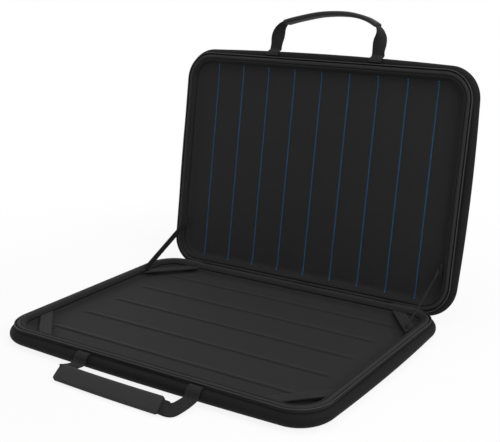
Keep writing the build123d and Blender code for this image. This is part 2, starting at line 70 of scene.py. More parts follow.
QUILT_GRID = (-4, -2.5, -1.6, -1.0, -0.5, 0, 0.5, 1.0, 1.6, 2.5, 4)
STITCH_PITCH, STITCH_LENGTH, STITCH_WIDE, STITCH_TALL = 2.9, 1.4, 0.58, 0.45
STITCH_LIFT, STITCH_SINK, STITCH_SIDES = 0.12, 0.3, 6
STITCH_PROFILE = ((-1, 0.35), (-0.7, 0.9), (0, 1), (0.7, 0.9), (1, 0.35))
BAND_WIDTH, BAND_THICKNESS, BAND_HEIGHT, BAND_INSET = 12.0, 1.4, 15.0, 7.6
BAND_SIDE_POINT, BAND_EDGE_POINT = (171.0, 77.0), (128.0, 120.0)
BAND_CORNER_SHIFT = 8.0                    # the back right band is sewn nearer its corner
BAND_RIDGES, BAND_VALLEY, BAND_ARCH = 3, 0.62, 0.25
BAND_WEAVE_LENGTH = 60                     # about its length, for the weave's scale
TAB_FACE_INSET, TAB_THICKNESS, TAB_LENGTH = 7.4, 2.0, 14.0
TAB_BOTTOM, TAB_TOP = 16.6, 19.4
STAY_BASE_Y, STAY_LID_REACH = 73.5, 49.5
STAY_WIDTH, STAY_THICKNESS, STAY_GAP = 7.4, 1.0, 0.1
STAY_TWIST = {"left": 0.0, "right": math.radians(-42)}    # at the middle of each stay
HINGE_LENGTH, HINGE_THICKNESS, HINGE_LIFT = 220.0, 0.5, 0.05
WEB_WIDTH, WEB_THICKNESS, LEG_X = 15.0, 1.6, 65.8
SLEEVE_WIDTH, SLEEVE_THICKNESS, SLEEVE_END = 17.0, 5.2, 0.86
SIDES = {"left": -1, "right": 1}

# ---- camera, fitted to the photograph's viewing angle ----
CAMERA_AZIMUTH, CAMERA_ELEVATION, CAMERA_ROLL = 30.858, 16.989, 0.252
CAMERA_PLACE = (0.51763, -0.68305, 0.37249)
CAMERA_LENS, CAMERA_SHIFT = 65.30, (-0.1358, 0.0205)

# ---- studio: name, place, size and power of each lamp; distances in metres ----
LAMPS = [("key", (1.7, -0.5, 1.3), 1.2, 26), ("top", (0.1, 0.1, 2.0), 1.6, 14)]
LAMP_TARGET = (0, 0, 0.08)
WORLD_LEVEL = 0.30
FLOOR_HALF, FLOOR_COLOUR = 5, (0.95, 0.95, 0.95, 1)
FLOOR_FADE, FLOOR_WHITE = (0.26, 0.60), 0.88
WHITE = (1, 1, 1, 1)

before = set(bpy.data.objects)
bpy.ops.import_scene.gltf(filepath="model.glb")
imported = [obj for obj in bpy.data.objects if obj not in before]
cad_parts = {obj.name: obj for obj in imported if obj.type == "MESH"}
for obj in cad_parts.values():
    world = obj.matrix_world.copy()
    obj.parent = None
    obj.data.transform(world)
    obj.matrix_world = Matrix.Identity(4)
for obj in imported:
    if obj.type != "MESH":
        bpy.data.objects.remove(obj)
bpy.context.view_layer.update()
noise.seed_set(TRIM_SEED)                  # otherwise noise_vector() starts from the clock


# ------------------------------------------------------------------ places
def half_point(half, x, y, z):
    """A point of the base half in metres, or the same point of the open lid."""
    if half == "lid":
        back = y - HINGE_Y
        rise = 2 * SHUT_Z - z - HINGE_Z
        y = HINGE_Y + back * math.cos(OPEN_ANGLE) + rise * math.sin(OPEN_ANGLE)
        z = HINGE_Z - back * math.sin(OPEN_ANGLE) + rise * math.cos(OPEN_ANGLE)
    return Vector((x * MM, y * MM, z * MM))


def rim_path(step, gap=0.0):
    """Samples round the rim line, clockwise from the middle of the back edge.

    Each is (x, y, normal x, normal y, distance along). A gap leaves out that much of the
    back edge on both sides of its middle.
    """
    straight_x = HALF_WIDTH - RIM_CORNER
    straight_y = HALF_DEPTH - RIM_CORNER
    turns = [((straight_x, straight_y), 90), ((straight_x, -straight_y), 0),
             ((-straight_x, -straight_y), -90), ((-straight_x, straight_y), -180)]
    points = [(gap, HALF_DEPTH, 0.0, 1.0)]
    for (cx, cy), start in turns:
        count = max(6, round(RIM_CORNER * math.pi / 2 / step))
        for i in range(count + 1):
            angle = math.radians(start - 90 * i / count)
            nx, ny = math.cos(angle), math.sin(angle)
            points.append((cx + RIM_CORNER * nx, cy + RIM_CORNER * ny, nx, ny))
    points.append((-gap, HALF_DEPTH, 0.0, 1.0))
    path = []
    travelled = 0.0
    for a, b in zip(points, points[1:]):
        length = math.hypot(b[0] - a[0], b[1] - a[1])
        pieces = max(1, round(length / step))
        for i in range(pieces):
            t = i / pieces
            mixed = [p + (q - p) * t for p, q in zip(a, b)]
            path.append((*mixed, travelled + length * t))
        travelled += length
    path.append((*points[-1], travelled))
    return path


def inset_at(x, y):
    """How far inside the rim line a point lies."""
    qx = abs(x) - (HALF_WIDTH - RIM_CORNER)
    qy = abs(y) - (HALF_DEPTH - RIM_CORNER)
    outside = math.hypot(max(qx, 0), max(qy, 0)) + min(max(qx, qy), 0)
    return RIM_CORNER - outside


def smooth(value, low, high):
    """0 below low, 1 above high, and a soft step between."""
    t = min(max((value - low) / (high - low), 0.0), 1.0)
    return t * t * (3 - 2 * t)


# ------------------------------------------------------------------ meshes
class Shape:
    """Vertices, faces and a real-length UV for each vertex of a face."""

    def __init__(self):
        self.points = []
        self.faces = []
        self.uvs = []

    def add(self, points):
        first = len(self.points)
        self.points.extend(points)
        return first

    def face(self, corners, uvs=None):
        self.faces.append(list(corners))
        self.uvs.append(uvs or [(0.0, 0.0)] * len(corners))

    def tube(self, rings, lengths, closed_path=False, caps=True):
        """Skin over rings of points; lengths is the distance along at each ring."""
        count = len(rings[0])
        girth = [0.0]
        for i in range(count):
            girth.append(girth[-1] + (Vector(rings[0][(i + 1) % count])
                                      - Vector(rings[0][i])).length)
        first = self.add([p for ring in rings for p in ring])
        steps = len(rings) if closed_path else len(rings) - 1
        for i in range(steps):
            j = (i + 1) % len(rings)
            here, there = lengths[i] * MM, lengths[i + 1] * MM
            for k in range(count):
                m = (k + 1) % count
                corners = [first + i * count + k, first + i * count + m,
                           first + j * count + m, first + j * count + k]
                self.face(corners, [(here, girth[k]), (here, girth[k + 1]),
                                    (there, girth[k + 1]), (there, girth[k])])
        if caps and not closed_path:
            self.face([first + k for k in range(count)])
            last = first + (len(rings) - 1) * count
            self.face([last + k for k in reversed(range(count))])


def build(name, shape, material, body=None, sharp=40):
    """Make the object, smooth shaded with crisp edges, riding on its body."""
    mesh = bpy.data.meshes.new(name)
    mesh.from_pydata([tuple(p) for p in shape.points], [], shape.faces)
    layer = mesh.uv_layers.new(name="lengths")
    flat = [uv for face in shape.uvs for uv in face]
    for loop, uv in zip(layer.data, flat):
        loop.uv = uv
    work = bmesh.new()
    work.from_mesh(mesh)
    bmesh.ops.recalc_face_normals(work, faces=work.faces)
    for edge in work.edges:
        if len(edge.link_faces) == 2:
            edge.smooth = edge.calc_face_angle(0) < math.radians(sharp)
    for face in work.faces:
        face.smooth = True
    work.to_mesh(mesh)
    work.free()
    mesh.materials.append(material)
    piece = bpy.data.objects.new(name, mesh)
    bpy.context.collection.objects.link(piece)
    if body:
        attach(piece, body)
    return piece


def oval(out, height, wide, tall, count=16, slant=0.0, power=1.0):
    """Closed section of (out, height) points; a power below 1 squares it."""
    points = []
    for i in range(count):
        angle = 2 * math.pi * i / count
        c, s = math.cos(angle), math.sin(angle)
        a = wide * math.copysign(abs(c) ** power, c)
        b = tall * math.copysign(abs(s) ** power, s)
        points.append((out + a * math.cos(slant) - b * math.sin(slant),
                       height + a * math.sin(slant) + b * math.cos(slant)))
    return points


def rim_sweep(half, section, step, gap=0.0, waver=None, swell=None):
    """Sweep a section round the rim; waver(x, y) shifts it by (out, height).

    A gap leaves out the middle of the back edge. swell(along) scales the section about
    its own middle.
    """
    shape = Shape()
    path = rim_path(step, gap)
    closed = gap == 0
    middle_out = sum(p[0] for p in section) / len(section)
    middle_up = sum(p[1] for p in section) / len(section)
    rings = []
    for x, y, nx, ny, along in path[:-1] if closed else path:
        shift = waver(x, y) if waver else (0.0, 0.0)
        grow = swell(along) if swell else 1.0
        ring = []
        for out, up in section:
            o = middle_out + (out - middle_out) * grow + shift[0]
            u = middle_up + (up - middle_up) * grow + shift[1]
            ring.append(half_point(half, x + nx * o, y + ny * o, u))
        rings.append(ring)
    shape.tube(rings, [p[4] for p in path], closed_path=closed)
    return shape


def spline(stations, per):
    """Catmull-Rom curve through the stations, of any number of values each."""
    result = []
    last = len(stations) - 1
    for i in range(last):
        p0, p1 = stations[max(i - 1, 0)], stations[i]
        p2, p3 = stations[i + 1], stations[min(i + 2, last)]
        for k in range(per):
            t = k / per
            result.append([0.5 * (2 * b + (c - a) * t + (2 * a - 5 * b + 4 * c - d) * t * t
                                  + (3 * b - a - 3 * c + d) * t ** 3)
                           for a, b, c, d in zip(p0, p1, p2, p3)])
    result.append(list(stations[-1]))
    return result


def loft(shape, half, stations, section, per=6):
    """Strap along stations of (x, y, z, width direction x, y, z, width, thickness).

    section gives (across, through) from -0.5 to 0.5 of the width and thickness.
    """
    samples = spline(stations, per)
    rings = []
    lengths = [0.0]
    for i, sample in enumerate(samples):
        here = Vector(sample[:3])
        before = Vector(samples[max(i - 1, 0)][:3])
        after = Vector(samples[min(i + 1, len(samples) - 1)][:3])
        run = (after - before).normalized()
        across = Vector(sample[3:6])
        across = (across - across.dot(run) * run).normalized()
        through = run.cross(across)
        width, thickness = sample[6], sample[7]
        rings.append([half_point(half, *(here + across * a * width
                                         + through * b * thickness))
                      for a, b in section])
        if i:
            lengths.append(lengths[-1] + (here - before).length)
    shape.tube(rings, lengths)


def strap_section(count=8, edge=0.22):
    """Flat woven strap: even faces and rounded selvedges."""
    selvedge = 0.04
    half = 0.5 - selvedge
    top = [(-half + 2 * half * i / count, 0.5) for i in range(count + 1)]
    low = [(a, -b) for a, b in reversed(top)]
    return top + [(0.5, edge), (0.5, -edge)] + low + [(-0.5, -edge), (-0.5, edge)]


# ------------------------------------------------------------------ materials
class Surface:
    """A node material; patterns are in real lengths."""

    def __init__(self, name, colour, rough, sheen=0.0, specular=0.5):
        self.material = bpy.data.materials.new(name)
        self.material.use_nodes = True
        self.nodes = self.material.node_tree.nodes
        self.links = self.material.node_tree.links
        self.shader = self.nodes["Principled BSDF"]
        self.colour = colour
        self.shader.inputs["Base Color"].default_value = (*colour, 1)
        self.shader.inputs["Roughness"].default_value = rough
        self.shader.inputs["Specular IOR Level"].default_value = specular
        self.shader.inputs["Sheen Weight"].default_value = sheen
        self.shader.inputs["Sheen Roughness"].default_value = 0.5
        self.place = self.nodes.new("ShaderNodeTexCoord")

    def node(self, kind, **values):
        node = self.nodes.new("ShaderNode" + kind)
        for key, value in values.items():
            setattr(node, key, value)
        return node

    def grain(self, size, detail=3.0, where="Object"):
        """Noise whose lumps are about this large, in metres."""
        texture = self.node("TexNoise")
        texture.inputs["Scale"].default_value = 1.0 / size
        texture.inputs["Detail"].default_value = detail
        self.links.new(self.place.outputs[where], texture.inputs["Vector"])
        return texture.outputs["Fac"]

    def stripes(self, pitch, axis, distortion=0.0):
        """Rounded ridges across U or V at this pitch, in metres."""
        texture = self.node("TexWave", wave_type="BANDS", bands_direction=axis)
        texture.inputs["Scale"].default_value = 2 * math.pi / (20 * pitch)
        texture.inputs["Distortion"].default_value = distortion
        self.links.new(self.place.outputs["UV"], texture.inputs["Vector"])
        return texture.outputs["Fac"]

    def math(self, operation, a, b):
        node = self.node("Math", operation=operation)
        for socket, value in zip(node.inputs, (a, b)):
            if isinstance(value, (int, float)):
                socket.default_value = value
            else:
                self.links.new(value, socket)
        return node.outputs[0]

    def tint(self, factor, dark, light):
        """Vary the colour between two multiples of itself."""
        ramp = self.node("ValToRGB")
        for stop, amount in zip(ramp.color_ramp.elements, (dark, light)):
            stop.color = (*(c * amount for c in self.colour), 1)
        self.links.new(factor, ramp.inputs["Fac"])
        self.links.new(ramp.outputs["Color"], self.shader.inputs["Base Color"])

    def bump(self, height, distance):
        node = self.node("Bump")
        node.inputs["Distance"].default_value = distance
        self.links.new(height, node.inputs["Height"])
        self.links.new(node.outputs["Normal"], self.shader.inputs["Normal"])


def foam_skin():
    skin = Surface("foam_skin", (0.0085, 0.0085, 0.009), 0.70, specular=0.09)
    fine = skin.grain(0.0007)
    broad = skin.grain(0.02, detail=2.0)
    skin.tint(skin.math("ADD", skin.math("MULTIPLY", fine, 0.5),
                        skin.math("MULTIPLY", broad, 0.5)), 0.75, 1.25)
    skin.bump(fine, 0.00025)
    return skin.material


def knit(name, colour, sheen):
    cloth = Surface(name, colour, 0.85, sheen=sheen, specular=0.24)
    loops = cloth.math("MULTIPLY", cloth.stripes(0.0009, "X", 1.0),
                       cloth.stripes(0.0007, "Y", 1.0))
    mottle = cloth.grain(0.012, detail=4.0)
    cloth.tint(cloth.math("ADD", cloth.math("MULTIPLY", loops, 0.5),
                          cloth.math("MULTIPLY", mottle, 0.6)), 0.78, 1.22)
    cloth.bump(loops, 0.00012)
    return cloth.material


def weave(name, colour, along, across, rough=0.75, sheen=0.02, depth=0.0002):
    """Woven strap or tape: ribs along and across it at their own pitches."""
    cloth = Surface(name, colour, rough, sheen=sheen, specular=0.16)
    ribs = cloth.math("MULTIPLY", cloth.stripes(along, "X"), cloth.stripes(across, "Y"))
    wear = cloth.grain(0.006, detail=3.0)
    cloth.tint(cloth.math("ADD", cloth.math("MULTIPLY", ribs, 0.6),
                          cloth.math("MULTIPLY", wear, 0.5)), 0.7, 1.3)
    cloth.bump(ribs, depth)
    return cloth.material


def plain(name, colour, rough, grain, depth, metallic=0.0):
    """Moulded or painted surface with a fine grain."""
    skin = Surface(name, colour, rough, specular=0.25)
    skin.shader.inputs["Metallic"].default_value = metallic
    lumps = skin.grain(grain)
    skin.tint(lumps, 0.8, 1.2)
    skin.bump(lumps, depth)
    return skin.material


FOAM = foam_skin()
LID_CLOTH = knit("lid_knit", (0.0135, 0.0136, 0.0138), 0.02)
FLOOR_CLOTH = knit("floor_knit", (0.0105, 0.0105, 0.0105), 0.02)
# Piping and binding share one grosgrain; the piping's twice lighter colour is a painted
# highlight along the crest.
PIPING_CLOTH_PAINTED_HIGHLIGHT = weave("piping_grosgrain_painted_highlight", (0.025, 0.025, 0.0255), 0.0008, 0.0012)
BINDING_CLOTH = weave("binding_grosgrain", (0.012, 0.012, 0.0125), 0.0008, 0.0012)
TAPE_CLOTH = weave("zip_tape_weave", (0.015, 0.015, 0.016), 0.0006, 0.0006)
WEBBING = weave("webbing_weave", (0.013, 0.013, 0.0135), 0.0014, 0.0022, depth=0.0003)
ELASTIC = weave("elastic_weave", (0.018, 0.018, 0.0185), 0.0010, 0.0014, depth=0.0002)
SLEEVE = plain("sleeve_skin", (0.020, 0.020, 0.0205), 0.72, 0.0012, 0.00015)
NYLON = plain("zip_nylon", (0.022, 0.022, 0.024), 0.42, 0.002, 0.00003)
METAL = plain("black_metal", (0.03, 0.03, 0.032), 0.35, 0.0015, 0.00002, metallic=0.6)
BOARD = plain("board", (0.03, 0.03, 0.03), 0.6, 0.002, 0.00004)
THREAD = weave("blue_thread", (0.012, 0.22, 0.55), 0.0007, 0.0004, rough=0.5, sheen=0.1)


# ------------------------------------------------------------------ rim
def rim_waver(seed):
    """Slow unevenness of soft trim, in millimetres."""
    def shift(x, y):
        wave = noise.noise_vector(Vector((x * 0.02, y * 0.02, seed)))
        return (wave[0] * TRIM_WAVER, wave[1] * TRIM_WAVER)
    return shift


def make_rim(half):
    """The piping roll on the crest, and the flatter binding inside it. The roll's lighter
    colour is a painted highlight.
    """
    section = oval(PIPING_OUT, RIM_HEIGHT - PIPING_TALL, PIPING_WIDE, PIPING_TALL)
    shape = rim_sweep(half, section, TRIM_STEP, waver=rim_waver(1.0))
    roll = build(half + "_piping_roll", shape, PIPING_CLOTH_PAINTED_HIGHLIGHT, half)
    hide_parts(half + "_piping")

    section = oval(BINDING_OUT, BINDING_HEIGHT, BINDING_LONG, BINDING_THICK,
                   slant=BINDING_SLANT, power=0.75)
    shape = rim_sweep(half, section, TRIM_STEP, waver=rim_waver(2.0))
    band = build(half + "_binding_band", shape, BINDING_CLOTH, half)
    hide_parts(half + "_binding")


def make_binding_wrap(half):
    """Folded end of the binding, lapped over its start on the back edge."""
    shape = Shape()
    rings = []
    lengths = []
    steps = 8
    for i in range(steps + 1):
        x = JOINT_X - JOINT_LENGTH / 2 + JOINT_LENGTH * i / steps
        proud = LAP_END_SWELL if i in (0, steps) else LAP_SWELL
        section = oval(BINDING_OUT, BINDING_HEIGHT, BINDING_LONG + proud,
                       BINDING_THICK + proud, slant=BINDING_SLANT, power=0.75)
        rings.append([half_point(half, x, HALF_DEPTH + out, up) for out, up in section])
        lengths.append(JOINT_LENGTH * i / steps)
    shape.tube(rings, lengths)
    wrap = build(half + "_binding_lap", shape, BINDING_CLOTH, half)
    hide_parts(half + "_binding_joint")


def coil_swell(along):
    """Thickness of the coil: full at the middle of a turn, and necked in between."""
    return 1 - COIL_DIP + COIL_DIP * math.cos(2 * math.pi * along / COIL_TOOTH)


def make_zip(half):
    """Woven tape with its upright leg, and the coil along its edge."""
    low, high = TAPE_BOTTOM, TAPE_BOTTOM + TAPE_FLAT
    outer = TAPE_FACE + TAPE_THICKNESS
    section = [(TAPE_INNER, low), (outer - TAPE_FOLD, low), (outer, low + TAPE_FOLD),
               (outer, TAPE_TOP), (TAPE_FACE, TAPE_TOP), (TAPE_FACE, high + TAPE_FOLD),
               (TAPE_FACE - TAPE_FOLD, high), (TAPE_INNER, high)]
    shape = rim_sweep(half, section, TAPE_STEP, gap=STOP_X)
    tape = build(half + "_zip_woven_tape", shape, TAPE_CLOTH, half)
    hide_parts(half + "_zip_tape")

    section = oval(COIL_OUT, TAPE_TOP + COIL_LIFT + COIL_RADIUS, COIL_RADIUS, COIL_RADIUS,
                   count=8)
    shape = rim_sweep(half, section, COIL_TOOTH / 4, gap=STOP_X + COIL_START,
                      swell=coil_swell)
    coil = build(half + "_zip_teeth", shape, NYLON, half, sharp=60)
    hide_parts(half + "_zip_coil")


# ------------------------------------------------------------------ lining
def row_places(count, pitch):
    """Places of evenly spaced rows, centred on 0."""
    return [(row - (count - 1) / 2) * pitch for row in range(count)]


def grid_lines(half_length, corner, fine_at, fine_offsets):
    """Grid lines from -half_length to half_length, close together near fine_at."""
    marks = {-half_length, half_length, -(half_length - corner), half_length - corner}
    edge = LINING_FOOT - LINING_INSET
    steps = 9
    for i in range(steps + 1):
        marks.add(half_length - edge * i / steps)
        marks.add(edge * i / steps - half_length)
    for centre in fine_at:
        for offset in fine_offsets:
            marks.add(centre + offset)
    lines = sorted(marks)
    filled = []
    for a, b in zip(lines, lines[1:]):
        pieces = max(1, math.ceil((b - a) / LINING_STEP))
        filled.extend(a + (b - a) * i / pieces for i in range(pieces))
    filled.append(lines[-1])
    return filled


def into_corner(x, y, half_x, half_y, corner):
    """Draw the grid's square corners in to the lining's round ones."""
    px = abs(x) - (half_x - corner)
    py = abs(y) - (half_y - corner)
    if px <= 0 or py <= 0:
        return x, y
    u, v = px / corner, py / corner
    qx = corner * u * math.sqrt(1 - v * v / 2)
    qy = corner * v * math.sqrt(1 - u * u / 2)
    return (math.copysign(half_x - corner + qx, x), math.copysign(half_y - corner + qy, y))


def cove(half, inset):
    """Height of the lining above the underside: a lip, a hollow curve, then the flat."""
    floor = PAD_TOP[half]
    if inset <= LINING_LIP:
        return LINING_TOP
    if inset >= LINING_FOOT:
        return floor
    t = (LINING_FOOT - inset) / (LINING_FOOT - LINING_LIP)
    return LINING_TOP - (LINING_TOP - floor) * math.sqrt(1 - t * t)


def rib_relief(x, y):
    """Soft raised lines across the floor, steeper on their front side."""
    height = 0.0
    for centre in row_places(RIB_COUNT, RIB_PITCH):
        front = smooth(y, centre - RIB_FRONT[0], centre - RIB_FRONT[1])
        rise = front * (1 - smooth(y, centre - RIB_BACK[0], centre + RIB_BACK[1]))
        ends = 1 - smooth(abs(x), RIB_HALF - RIB_FADE, RIB_HALF)
        height += RIB_HEIGHT * rise * ends
    return height


def quilt_relief(x, y):
    """Padding that swells between the rows of stitching and pinches in at them."""
    row = x / QUILT_PITCH
    away = abs(row - round(row)) * QUILT_PITCH
    inside = 1 - smooth(abs(row), QUILT_ROWS / 2 - 0.6, QUILT_ROWS / 2)
    ends = 1 - smooth(abs(y), QUILT_HALF - QUILT_FADE[0], QUILT_HALF - QUILT_FADE[1])
    pinch = math.exp(-(away / QUILT_PINCH_WIDTH) ** 2) * (abs(row) < QUILT_ROWS / 2)
    swell = smooth(away, 0, QUILT_PITCH / 2.2)
    return ends * (QUILT_SWELL * swell * inside - QUILT_PINCH * pinch)


def make_lining(half, relief, fine_x, fine_y, cloth, replaced):
    """One moulded, cloth-covered pad: floor and coved walls together."""
    half_x = HALF_WIDTH - LINING_INSET
    half_y = HALF_DEPTH - LINING_INSET
    corner = RIM_CORNER - LINING_INSET
    xs = grid_lines(half_x, corner, *fine_x)
    ys = grid_lines(half_y, corner, *fine_y)
    shape = Shape()
    flat = []
    points = []
    for y in ys:
        for x in xs:
            px, py = into_corner(x, y, half_x, half_y, corner)
            inset = inset_at(px, py)
            lump = noise.noise(Vector((px * 0.03, py * 0.03, len(half))))
            fade = smooth(inset, RELIEF_START, RELIEF_FULL)
            height = cove(half, inset) + relief(px, py) * fade + LINING_LUMP * lump
            flat.append((px * MM, py * MM))
            points.append(half_point(half, px, py, height))
    shape.add(points)
    nx, ny = len(xs), len(ys)
    for j in range(ny - 1):
        for i in range(nx - 1):
            corners = [j * nx + i, j * nx + i + 1, (j + 1) * nx + i + 1, (j + 1) * nx + i]
            shape.face(corners, [flat[c] for c in corners])
    close_underneath(shape, half, flat, nx, ny)
    pad = build(half + "_lining_pad", shape, cloth, half, sharp=60)
    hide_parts(*replaced)


def close_underneath(shape, half, flat, nx, ny):
    """Walls down from the border of an nx by ny grid, and a flat bottom."""
    border = ([i for i in range(nx)] + [j * nx + nx - 1 for j in range(1, ny)]
              + [(ny - 1) * nx + i for i in range(nx - 2, -1, -1)]
              + [j * nx for j in range(ny - 2, 0, -1)])
    low = shape.add([half_point(half, flat[b][0] / MM, flat[b][1] / MM, PAD_BOTTOM)
                     for b in border])
    for k, b in enumerate(border):
        m = (k + 1) % len(border)
        corners = [b, low + k, low + m, border[m]]
        shape.face(corners, [flat[b], flat[b], flat[border[m]], flat[border[m]]])
    shape.face([low + k for k in range(len(border))], [flat[b] for b in border])


def lid_surface(x, y):
    """Height of the quilted lining's face in the base half's frame."""
    inset = inset_at(x, y)
    return cove("lid", inset) + quilt_relief(x, y) * smooth(inset, RELIEF_START, RELIEF_FULL)


def make_stitches():
    """Separate blue stitches, each sunk at its ends, in rows down the quilted lining."""
    shape = Shape()
    count = int(2 * QUILT_HALF / STITCH_PITCH)
    for x in row_places(QUILT_ROWS, QUILT_PITCH):
        for k in range(count):
            add_stitch(shape, x, -QUILT_HALF + STITCH_PITCH * (k + 0.5))
    rows = build("lid_quilt_stitches", shape, THREAD, "lid", sharp=80)
    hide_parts("lid_quilt_threads")


def add_stitch(shape, x, y):
    """One stitch lying along Y on the lid's lining."""
    rings = []
    spots = []
    for i, (t, grow) in enumerate(STITCH_PROFILE):
        sink = STITCH_SINK * t * t
        spot = y + t * STITCH_LENGTH / 2
        centre = lid_surface(x, spot) + STITCH_LIFT - sink
        ring = []
        for side in range(STITCH_SIDES):
            angle = side * 2 * math.pi / STITCH_SIDES
            ring.append(half_point("lid", x + STITCH_WIDE * grow * math.cos(angle), spot,
                                   centre + STITCH_TALL * grow * math.sin(angle)))
        rings.append(ring)
        spots.append(i * STITCH_LENGTH / 4)
    shape.tube(rings, spots)


# ------------------------------------------------------------------ bands, tabs, stays
def make_corner_band(name, side_x, side_y):
    """Flat elastic with three ridges, from the side's binding to the edge's."""
    start = Vector((BAND_SIDE_POINT[0] * side_x, BAND_SIDE_POINT[1] * side_y))
    shift = BAND_CORNER_SHIFT if side_x > 0 and side_y > 0 else 0
    end = Vector(((BAND_EDGE_POINT[0] + shift) * side_x, BAND_EDGE_POINT[1] * side_y))
    run = (end - start).normalized()
    across = Vector((-run.y, run.x))
    limit_x = (HALF_WIDTH - BAND_INSET) * side_x
    limit_y = (HALF_DEPTH - BAND_INSET) * side_y
    lines, steps = 18, 12
    top = []
    for i in range(lines + 1):
        w = -BAND_WIDTH / 2 + BAND_WIDTH * i / lines
        phase = (i / lines * BAND_RIDGES) % 1.0
        ridge = math.sin(math.pi * phase) if 0 < i < lines else 0.0
        top.append((w, BAND_THICKNESS * (BAND_VALLEY + (1 - BAND_VALLEY) * ridge)))
    section = top + [(w, 0.0) for w, _ in reversed(top)]
    middle = (start + end) / 2
    rings = []
    lengths = []
    for k in range(steps + 1):
        t = k / steps
        ring = []
        for w, up in section:
            p = middle + across * w
            a = p + run * ((limit_x - p.x) / run.x)
            b = p + run * ((limit_y - p.y) / run.y)
            q = a + (b - a) * t
            arch = BAND_ARCH * math.sin(math.pi * t)
            ring.append(half_point("base", q.x, q.y, BAND_HEIGHT + up + arch))
        rings.append(ring)
        lengths.append(t * BAND_WEAVE_LENGTH)
    shape = Shape()
    shape.tube(rings, lengths)
    band = build("corner_elastic_" + name, shape, ELASTIC, "base")
    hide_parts("corner_band_" + name)


def block(shape, half, x0, x1, y0, y1, z0, z1, round_by=0.4):
    """Soft-edged slab, from eight-sided rings stacked along X."""
    rings = []
    lengths = []
    for x, pull in ((x0, round_by), (x0 + round_by, 0), (x1 - round_by, 0), (x1, round_by)):
        a, b, c, d = y0 + pull, y1 - pull, z0 + pull, z1 - pull
        r = round_by
        ring = [(a + r, c), (b - r, c), (b, c + r), (b, d - r), (b - r, d), (a + r, d),
                (a, d - r), (a, c + r)]
        rings.append([half_point(half, x, y, z) for y, z in ring])
        lengths.append(x - x0)
    shape.tube(rings, lengths)


def make_tab(half, name, y):
    """Stitched tab on the binding that holds one end of a stay."""
    side = SIDES[name]
    outer = HALF_WIDTH - TAB_FACE_INSET
    ends = sorted((side * (outer - TAB_THICKNESS), side * outer))
    shape = Shape()
    block(shape, half, *ends, y - TAB_LENGTH / 2, y + TAB_LENGTH / 2, TAB_BOTTOM, TAB_TOP)
    tab = build(half + "_sewn_tab_" + name, shape, WEBBING, half)
    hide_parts(half + "_stay_tab_" + name)


def lid_section_point(y, z):
    """Y and Z of a base-half point moved to the open lid, in millimetres."""
    place = half_point("lid", 0, y, z)
    return place.y / MM, place.z / MM


def make_stay(name):
    """Woven stay between the halves, flat against the side of the case."""
    side = SIDES[name]
    x = side * (HALF_WIDTH - TAB_FACE_INSET - TAB_THICKNESS - STAY_GAP - STAY_THICKNESS / 2)
    low = (STAY_BASE_Y, SHUT_Z)
    high = lid_section_point(HINGE_Y - STAY_LID_REACH, SHUT_Z)
    run = Vector((0, high[0] - low[0], high[1] - low[1])).normalized()
    flat = run.cross(Vector((1, 0, 0)))
    stations = []
    for t in (0, 0.25, 0.5, 0.75, 1):
        twist = STAY_TWIST[name] * math.sin(math.pi * t) ** 0.5
        wide = flat * math.cos(twist) + Vector((math.sin(twist), 0, 0))
        y = low[0] + (high[0] - low[0]) * t
        z = low[1] + (high[1] - low[1]) * t
        stations.append((x, y, z, *wide, STAY_WIDTH, STAY_THICKNESS))
    shape = Shape()
    loft(shape, "base", stations, strap_section(), per=8)
    stay = build("stay_webbing_" + name, shape, WEBBING)
    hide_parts("stay_strap_" + name)
    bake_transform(stay)


def make_hinge_cloth():
    """Cloth strip that joins the halves along the back."""
    lift = HINGE_THICKNESS / 2 + HINGE_LIFT
    outer = HALF_DEPTH + TAPE_FACE + 2 * HINGE_THICKNESS
    base_side = [(HALF_DEPTH + TAPE_INNER, FLANGE_HEIGHT + lift),
                 (HALF_DEPTH + TAPE_FACE - TAPE_THICKNESS, FLANGE_HEIGHT + lift),
                 (outer, FLANGE_HEIGHT + 4 * lift),
                 (outer + 2 * HINGE_THICKNESS, FLANGE_HEIGHT + 6 * lift)]
    lid_side = [lid_section_point(*point) for point in reversed(base_side)]
    line = spline(base_side + lid_side, 5)
    sides = ([], [])
    for i, (y, z) in enumerate(line):
        before, after = line[max(i - 1, 0)], line[min(i + 1, len(line) - 1)]
        run = Vector((after[0] - before[0], after[1] - before[1])).normalized()
        for edge, sign in zip(sides, (1, -1)):
            edge.append((y - run.y * sign * HINGE_THICKNESS / 2,
                         z + run.x * sign * HINGE_THICKNESS / 2))
    section = sides[0] + sides[1][::-1]
    steps = 44
    rings = []
    lengths = []
    for k in range(steps + 1):
        x = -HINGE_LENGTH / 2 + HINGE_LENGTH * k / steps
        rings.append([half_point("base", x, y, z) for y, z in section])
        lengths.append(x + HINGE_LENGTH / 2)
    shape = Shape()
    shape.tube(rings, lengths)
    cloth = build("hinge_cloth", shape, TAPE_CLOTH)
    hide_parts("hinge_strip")
    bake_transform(cloth)


# ------------------------------------------------------------------ handles
def anchor_stations(x):
    """Webbing from the zip seam, over the shell's shoulder, to the waist."""
    run = [(5.6, 16.8), (8.4, 15.9), (10.9, 13.6), (12.2, 11.0)]
    return [(x, -HALF_DEPTH - out, up, 1, 0, 0, WEB_WIDTH, WEB_THICKNESS) for out, up in run]


def sleeve_section():
    """Flat padded sleeve: soft faces and round edges."""
    count, squareness, softness = 24, 0.42, 0.75
    points = []
    for i in range(count):
        angle = 2 * math.pi * i / count
        c, s = math.cos(angle), math.sin(angle)
        points.append((0.5 * math.copysign(abs(c) ** squareness, c),
                       0.5 * math.copysign(abs(s) ** softness, s)))
    return points


